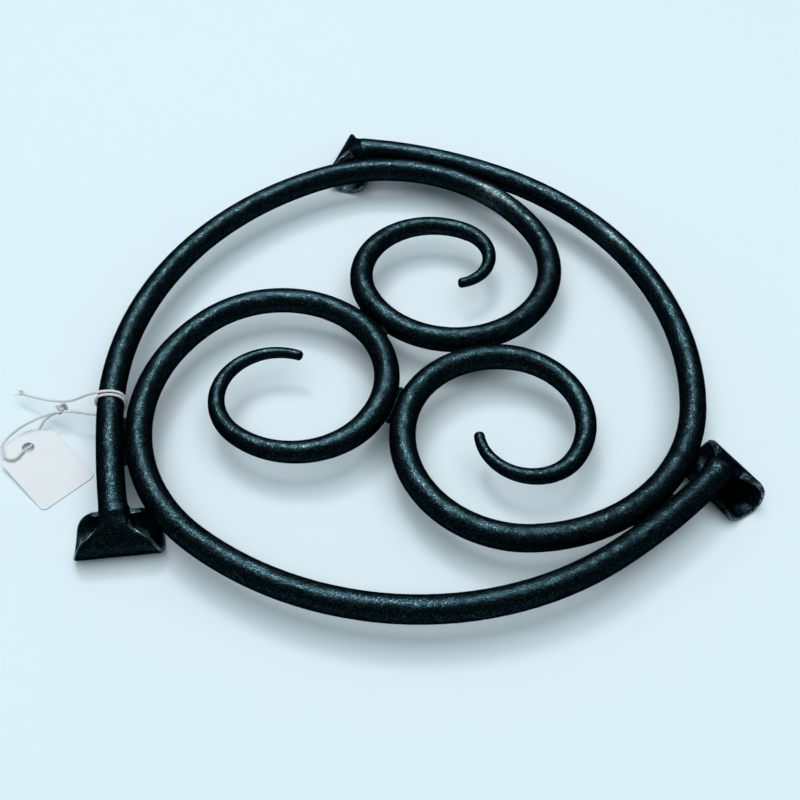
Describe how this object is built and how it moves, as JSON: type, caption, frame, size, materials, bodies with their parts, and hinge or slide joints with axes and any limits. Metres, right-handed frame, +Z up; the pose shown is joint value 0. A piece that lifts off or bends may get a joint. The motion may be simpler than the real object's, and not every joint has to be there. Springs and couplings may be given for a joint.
{
  "type": "forged trivet",
  "caption": "Low forged iron trivet of scrolled round bars welded in a ring, each bar ending in a flared foot rolled under, with a strung blank card.",
  "frame": {"origin": "middle of the footprint of the three scroll bars, on the table plane under the feet", "axes": "+Z up; -Y towards the side with the strung tag's foot at the left; +X towards the right foot"},
  "size_m": [0.2698, 0.2428, 0.0191],
  "materials": {
    "forged_iron": "black waxed scale, satin",
    "weld_iron": "black, rough",
    "card": "matte",
    "cotton": "matte"
  },
  "bodies": {
    "root": {"scroll_left": "forged_iron", "scroll_right": "forged_iron", "scroll_back": "forged_iron", "weld_centre_left": "weld_iron", "weld_centre_right": "weld_iron", "weld_centre_back": "weld_iron", "weld_rim_left": "weld_iron", "weld_rim_right": "weld_iron", "weld_rim_back": "weld_iron", "price_tag": "card", "tag_string": "cotton", "string_knot": "cotton"}
  },
  "joints": []
}
